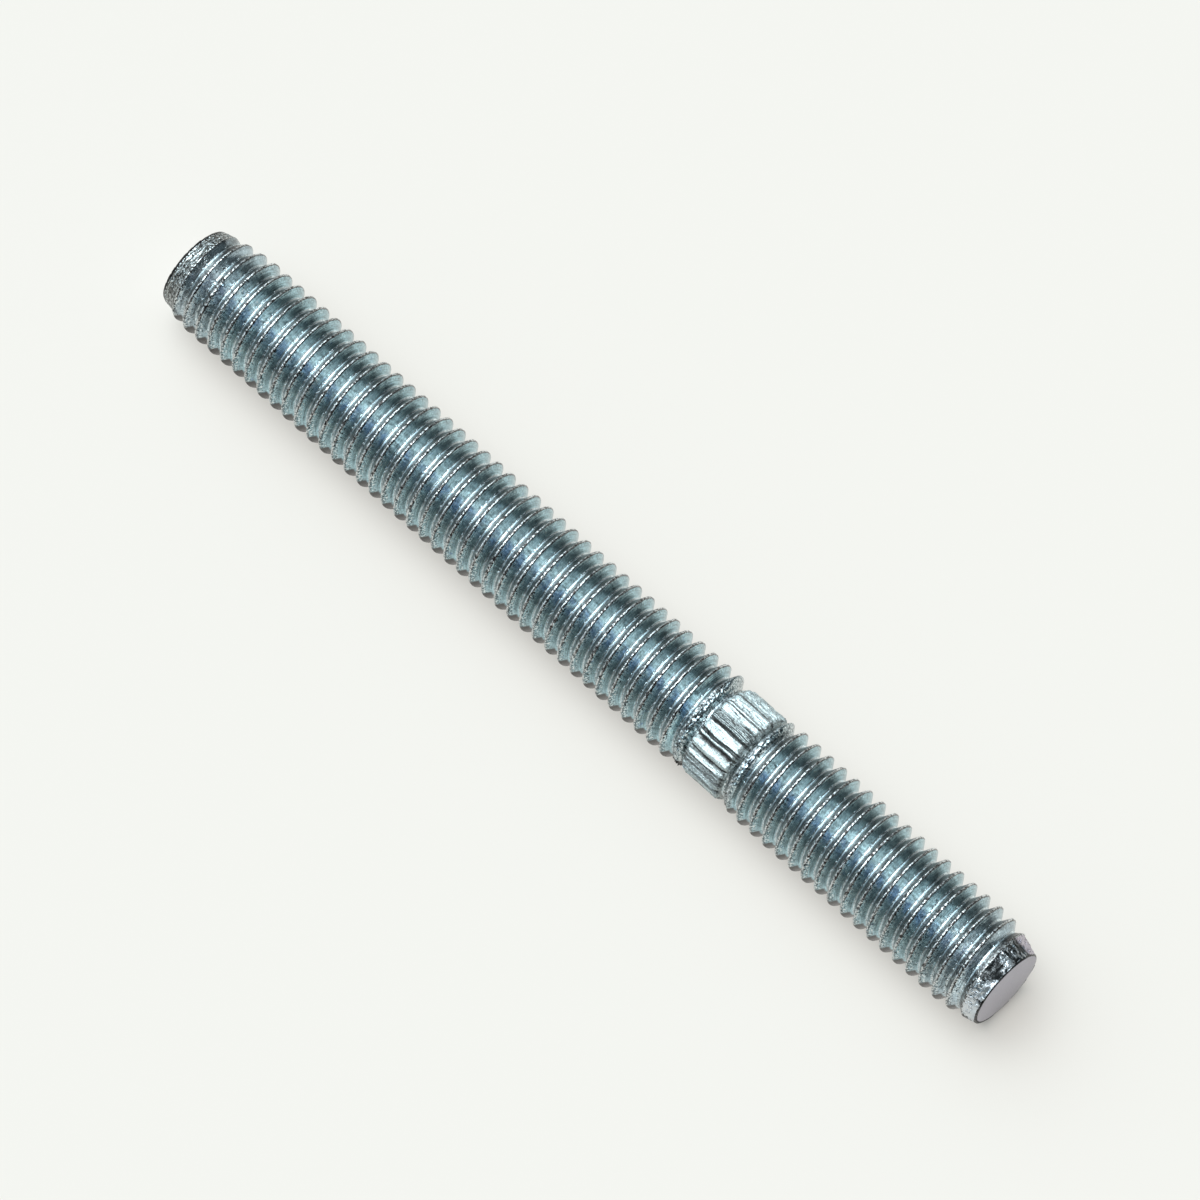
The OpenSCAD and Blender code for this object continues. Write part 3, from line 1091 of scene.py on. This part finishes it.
def makeFloor():
    bm = bmesh.new()
    bmesh.ops.create_grid(bm, x_segments=1, y_segments=1, size=studio["floorSize"] / 2)
    mesh = bpy.data.meshes.new("floor")
    bm.to_mesh(mesh)
    bm.free()
    floor = bpy.data.objects.new("floor", mesh)
    bpy.context.scene.collection.objects.link(floor)
    floor.location.z = rodLow.z
    material, tree = newMaterial("paleFloor")
    shader = tree.nodes["Principled BSDF"]
    shader.inputs["Base Color"].default_value = studio["paper"]
    shader.inputs["Roughness"].default_value = studio["paperRoughness"]
    shader.inputs["Specular IOR Level"].default_value = studio["paperShine"]
    glow = tree.nodes.new("ShaderNodeEmission")
    glow.inputs["Color"].default_value = studio["paperGlow"]
    glow.inputs["Strength"].default_value = 1.0
    coords = tree.nodes.new("ShaderNodeTexCoord")
    split = tree.nodes.new("ShaderNodeSeparateXYZ")
    tree.links.new(coords.outputs["Object"], split.inputs[0])
    # painted contact shadow: the paper's glow fades out near the line where the rod lies
    pastRod = calc(tree, "SUBTRACT", calc(tree, "ABSOLUTE", split.outputs[0]), rodLength / 2 - 2 * mm)
    fromRod = largest(tree, calc(tree, "ABSOLUTE", split.outputs[1]), pastRod)
    clear = ramp(tree, fromRod, *(distance * mm for distance in studio["contact"]))
    mix = tree.nodes.new("ShaderNodeMixShader")
    tree.links.new(times(tree, seenRay(tree), studio["glowShare"], clear), mix.inputs[0])
    tree.links.new(shader.outputs[0], mix.inputs[1])
    tree.links.new(glow.outputs[0], mix.inputs[2])
    tree.links.new(mix.outputs[0], tree.nodes["Material Output"].inputs["Surface"])
    mesh.materials.append(material)


def vectorNode(tree, operation, first, second=None):
    node = tree.nodes.new("ShaderNodeVectorMath")
    node.operation = operation
    plug(tree, node.inputs[0], first)
    if second is not None:
        plug(tree, node.inputs[1], second)
    return node


def scaled(tree, colour, strength):
    node = vectorNode(tree, "SCALE", colour)
    plug(tree, node.inputs["Scale"], strength)
    return node.outputs[0]


def softLight(tree, sky, light):
    tilt, angle = (math.radians(v) for v in light["towards"])
    full, none = (math.cos(math.radians(a)) for a in light["halfAngles"])
    towards = (math.sin(tilt), math.cos(tilt) * math.cos(angle), math.cos(tilt) * math.sin(angle))
    facing = vectorNode(tree, "DOT_PRODUCT", sky, towards).outputs["Value"]
    return scaled(tree, light["colour"], ramp(tree, facing, none, full, 0.0, light["strength"]))


def makeWorld():
    # large overhead softboxes with soft edges in a dim bluish room
    world = bpy.data.worlds.new("room")
    bpy.context.scene.world = world
    world.use_nodes = True
    tree = world.node_tree
    sky = tree.nodes.new("ShaderNodeTexCoord").outputs["Generated"]
    total = scaled(tree, studio["roomColour"], studio["roomStrength"])
    for light in lights:
        total = vectorNode(tree, "ADD", total, softLight(tree, sky, light)).outputs[0]
    tree.links.new(total, tree.nodes["Background"].inputs["Color"])


def makeCamera():
    data = bpy.data.cameras.new("camera")
    data.lens = studio["lens"]
    data.sensor_width = studio["sensor"]
    data.clip_start, data.clip_end = studio["clip"]
    camera = bpy.data.objects.new("camera", data)
    bpy.context.scene.collection.objects.link(camera)
    middle = Vector(((rodLow.x + rodHigh.x) / 2, 0, axisHeight))
    back = Vector(studio["cameraTowards"]).normalized()
    right = Vector((0, 0, 1)).cross(back).normalized()
    up = back.cross(right)
    aim = middle + (right * studio["cameraAim"][0] + up * studio["cameraAim"][1]) * mm
    camera.location = aim + back * studio["cameraDistance"]
    camera.rotation_euler = (aim - camera.location).to_track_quat("-Z", "Y").to_euler()
    bpy.context.scene.camera = camera


print("floor, light and camera")
makeFloor()
makeWorld()
makeCamera()
bpy.context.scene.view_settings.view_transform = "Standard"
